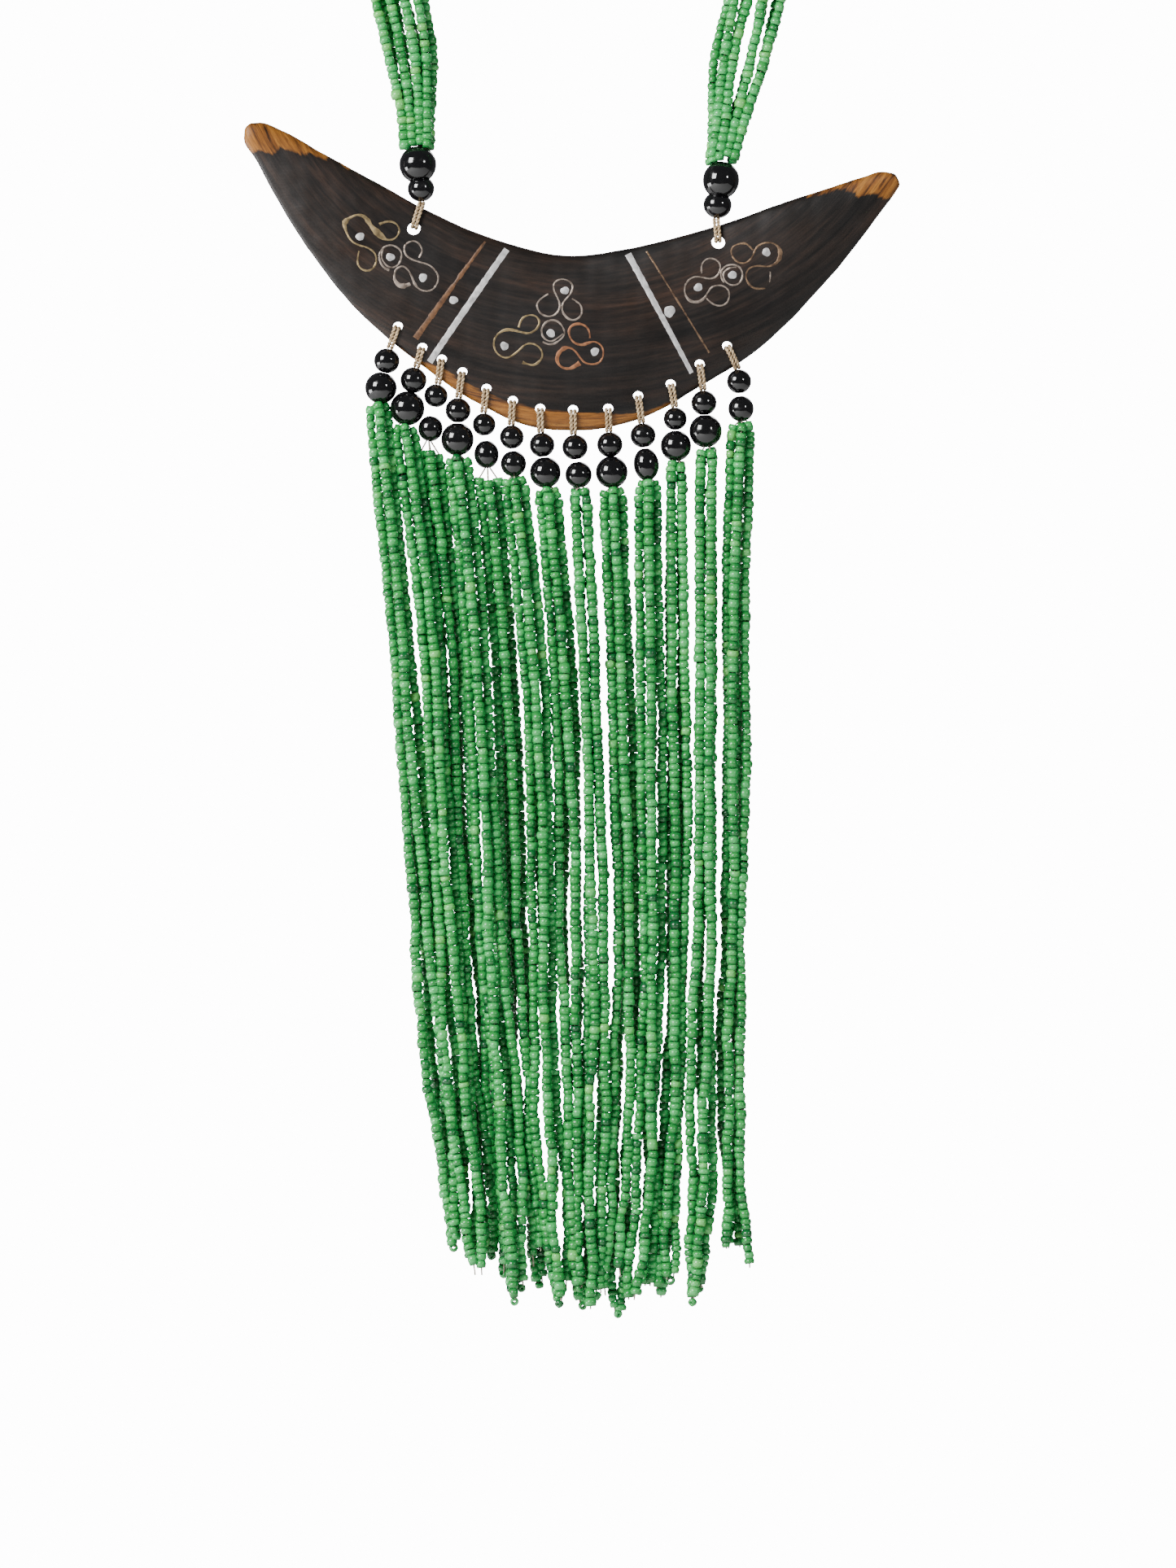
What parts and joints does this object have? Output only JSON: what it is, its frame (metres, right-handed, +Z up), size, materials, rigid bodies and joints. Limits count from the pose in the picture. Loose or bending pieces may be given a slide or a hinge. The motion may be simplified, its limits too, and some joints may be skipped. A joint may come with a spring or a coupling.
{
  "type": "beaded crescent necklace",
  "caption": "Necklace with a carved dark-wood crescent, metal inlay, a long fringe of green seed-bead strings on black glass beads, and a beaded neck strap.",
  "frame": {"origin": "the nape: the underside of the neck strap at its top, where a neck or a form carries it", "axes": "+Z up, +X to the viewer's right as the necklace is seen from the front, -Y towards the viewer"},
  "size_m": [0.2014, 0.011, 0.5337],
  "materials": {
    "carved_wood": "satin",
    "silver_inlay": "worn",
    "copper_inlay": "worn",
    "brass_wire": "worn",
    "twine": "matte",
    "black_glass": "gloss",
    "green_seed_beads": "gloss"
  },
  "bodies": {
    "neck_strap": {"strap_strings": "green_seed_beads", "strap_beads": "black_glass"},
    "crescent": {"crescent": "carved_wood", "silver_pins": "silver_inlay", "silver_strips": "silver_inlay", "copper_strips": "copper_inlay", "wire_scrolls": "brass_wire", "strap_loops": "twine"},
    "loop_01": {"thread_loop_01": "twine"},
    "tassel_01": {"small_bead_01": "black_glass", "large_bead_01": "black_glass", "fringe_strings_01": "green_seed_beads"},
    "loop_02": {"thread_loop_02": "twine"},
    "tassel_02": {"small_bead_02": "black_glass", "large_bead_02": "black_glass", "fringe_strings_02": "green_seed_beads"},
    "loop_03": {"thread_loop_03": "twine"},
    "tassel_03": {"small_bead_03": "black_glass", "large_bead_03": "black_glass", "fringe_strings_03": "green_seed_beads"},
    "loop_04": {"thread_loop_04": "twine"},
    "tassel_04": {"small_bead_04": "black_glass", "large_bead_04": "black_glass", "fringe_strings_04": "green_seed_beads"},
    "loop_05": {"thread_loop_05": "twine"},
    "tassel_05": {"small_bead_05": "black_glass", "large_bead_05": "black_glass", "fringe_strings_05": "green_seed_beads"},
    "loop_06": {"thread_loop_06": "twine"},
    "tassel_06": {"small_bead_06": "black_glass", "large_bead_06": "black_glass", "fringe_strings_06": "green_seed_beads"},
    "loop_07": {"thread_loop_07": "twine"},
    "tassel_07": {"small_bead_07": "black_glass", "large_bead_07": "black_glass", "fringe_strings_07": "green_seed_beads"},
    "loop_08": {"thread_loop_08": "twine"},
    "tassel_08": {"small_bead_08": "black_glass", "large_bead_08": "black_glass", "fringe_strings_08": "green_seed_beads"},
    "loop_09": {"thread_loop_09": "twine"},
    "tassel_09": {"small_bead_09": "black_glass", "large_bead_09": "black_glass", "fringe_strings_09": "green_seed_beads"},
    "loop_10": {"thread_loop_10": "twine"},
    "tassel_10": {"small_bead_10": "black_glass", "large_bead_10": "black_glass", "fringe_strings_10": "green_seed_beads"},
    "loop_11": {"thread_loop_11": "twine"},
    "tassel_11": {"small_bead_11": "black_glass", "large_bead_11": "black_glass", "fringe_strings_11": "green_seed_beads"},
    "loop_12": {"thread_loop_12": "twine"},
    "tassel_12": {"small_bead_12": "black_glass", "large_bead_12": "black_glass", "fringe_strings_12": "green_seed_beads"},
    "loop_13": {"thread_loop_13": "twine"},
    "tassel_13": {"small_bead_13": "black_glass", "large_bead_13": "black_glass", "fringe_strings_13": "green_seed_beads"}
  },
  "joints": [
    {"name": "crescent_swing", "type": "hinge", "parent": "neck_strap", "child": "crescent", "pos_m": [-0.00017, 0, -0.18212], "axis": [0.9984, 0, -0.0565], "range_deg": [-20, 20]},
    {"name": "tassel_sway_01", "type": "hinge", "parent": "crescent", "child": "loop_01", "pos_m": [-0.0528, 0, -0.2183], "axis": [0, 1, 0], "range_deg": [-2, 2]},
    {"name": "tassel_swing_01", "type": "hinge", "parent": "loop_01", "child": "tassel_01", "pos_m": [-0.05545, 0, -0.22543], "axis": [1, 0, 0], "range_deg": [-18, 18]},
    {"name": "tassel_sway_02", "type": "hinge", "parent": "crescent", "child": "loop_02", "pos_m": [-0.0453, 0, -0.2248], "axis": [0, 1, 0], "range_deg": [-2, 2]},
    {"name": "tassel_swing_02", "type": "hinge", "parent": "loop_02", "child": "tassel_02", "pos_m": [-0.04722, 0, -0.23123], "axis": [1, 0, 0], "range_deg": [-18, 18]},
    {"name": "tassel_sway_03", "type": "hinge", "parent": "crescent", "child": "loop_03", "pos_m": [-0.0393, 0, -0.2284], "axis": [0, 1, 0], "range_deg": [-2, 2]},
    {"name": "tassel_swing_03", "type": "hinge", "parent": "loop_03", "child": "tassel_03", "pos_m": [-0.04055, 0.0004, -0.23635], "axis": [1, 0, 0], "range_deg": [-18, 18]},
    {"name": "tassel_sway_04", "type": "hinge", "parent": "crescent", "child": "loop_04", "pos_m": [-0.033, 0, -0.2323], "axis": [0, 1, 0], "range_deg": [-2, 2]},
    {"name": "tassel_swing_04", "type": "hinge", "parent": "loop_04", "child": "tassel_04", "pos_m": [-0.03422, 0, -0.24055], "axis": [1, 0, 0], "range_deg": [-18, 18]},
    {"name": "tassel_sway_05", "type": "hinge", "parent": "crescent", "child": "loop_05", "pos_m": [-0.0256, 0, -0.2374], "axis": [0, 1, 0], "range_deg": [-2, 2]},
    {"name": "tassel_swing_05", "type": "hinge", "parent": "loop_05", "child": "tassel_05", "pos_m": [-0.02655, 0.0005, -0.24516], "axis": [1, 0, 0], "range_deg": [-18, 18]},
    {"name": "tassel_sway_06", "type": "hinge", "parent": "crescent", "child": "loop_06", "pos_m": [-0.0175, 0, -0.2411], "axis": [0, 1, 0], "range_deg": [-2, 2]},
    {"name": "tassel_swing_06", "type": "hinge", "parent": "loop_06", "child": "tassel_06", "pos_m": [-0.01801, 0, -0.24891], "axis": [1, 0, 0], "range_deg": [-18, 18]},
    {"name": "tassel_sway_07", "type": "hinge", "parent": "crescent", "child": "loop_07", "pos_m": [-0.0091, 0, -0.2435], "axis": [0, 1, 0], "range_deg": [-2, 2]},
    {"name": "tassel_swing_07", "type": "hinge", "parent": "loop_07", "child": "tassel_07", "pos_m": [-0.00891, 0, -0.25122], "axis": [1, 0, 0], "range_deg": [-18, 18]},
    {"name": "tassel_sway_08", "type": "hinge", "parent": "crescent", "child": "loop_08", "pos_m": [0.001, 0, -0.2439], "axis": [0, 1, 0], "range_deg": [-2, 2]},
    {"name": "tassel_swing_08", "type": "hinge", "parent": "loop_08", "child": "tassel_08", "pos_m": [0.00114, 0, -0.25183], "axis": [1, 0, 0], "range_deg": [-18, 18]},
    {"name": "tassel_sway_09", "type": "hinge", "parent": "crescent", "child": "loop_09", "pos_m": [0.0118, 0, -0.2435], "axis": [0, 1, 0], "range_deg": [-2, 2]},
    {"name": "tassel_swing_09", "type": "hinge", "parent": "loop_09", "child": "tassel_09", "pos_m": [0.01205, 0, -0.25101], "axis": [1, 0, 0], "range_deg": [-18, 18]},
    {"name": "tassel_sway_10", "type": "hinge", "parent": "crescent", "child": "loop_10", "pos_m": [0.021, 0, -0.2396], "axis": [0, 1, 0], "range_deg": [-2, 2]},
    {"name": "tassel_swing_10", "type": "hinge", "parent": "loop_10", "child": "tassel_10", "pos_m": [0.02211, 0, -0.24832], "axis": [1, 0, 0], "range_deg": [-18, 18]},
    {"name": "tassel_sway_11", "type": "hinge", "parent": "crescent", "child": "loop_11", "pos_m": [0.031, 0, -0.236], "axis": [0, 1, 0], "range_deg": [-2, 2]},
    {"name": "tassel_swing_11", "type": "hinge", "parent": "loop_11", "child": "tassel_11", "pos_m": [0.03232, 0, -0.24345], "axis": [1, 0, 0], "range_deg": [-18, 18]},
    {"name": "tassel_sway_12", "type": "hinge", "parent": "crescent", "child": "loop_12", "pos_m": [0.0399, 0, -0.2299], "axis": [0, 1, 0], "range_deg": [-2, 2]},
    {"name": "tassel_swing_12", "type": "hinge", "parent": "loop_12", "child": "tassel_12", "pos_m": [0.041, -0.0004, -0.23826], "axis": [1, 0, 0], "range_deg": [-18, 18]},
    {"name": "tassel_sway_13", "type": "hinge", "parent": "crescent", "child": "loop_13", "pos_m": [0.0483, 0, -0.2243], "axis": [0, 1, 0], "range_deg": [-2, 2]},
    {"name": "tassel_swing_13", "type": "hinge", "parent": "loop_13", "child": "tassel_13", "pos_m": [0.05175, 0, -0.23176], "axis": [1, 0, 0], "range_deg": [-18, 18]}
  ],
  "couplings": [
    {"joint": "tassel_sway_01", "follows": "tassel_sway_07", "ratio": 1},
    {"joint": "tassel_sway_02", "follows": "tassel_sway_07", "ratio": 1},
    {"joint": "tassel_sway_03", "follows": "tassel_sway_07", "ratio": 1},
    {"joint": "tassel_sway_04", "follows": "tassel_sway_07", "ratio": 1},
    {"joint": "tassel_sway_05", "follows": "tassel_sway_07", "ratio": 1},
    {"joint": "tassel_sway_06", "follows": "tassel_sway_07", "ratio": 1},
    {"joint": "tassel_sway_08", "follows": "tassel_sway_07", "ratio": 1},
    {"joint": "tassel_sway_09", "follows": "tassel_sway_07", "ratio": 1},
    {"joint": "tassel_sway_10", "follows": "tassel_sway_07", "ratio": 1},
    {"joint": "tassel_sway_11", "follows": "tassel_sway_07", "ratio": 1},
    {"joint": "tassel_sway_12", "follows": "tassel_sway_07", "ratio": 1},
    {"joint": "tassel_sway_13", "follows": "tassel_sway_07", "ratio": 1}
  ]
}
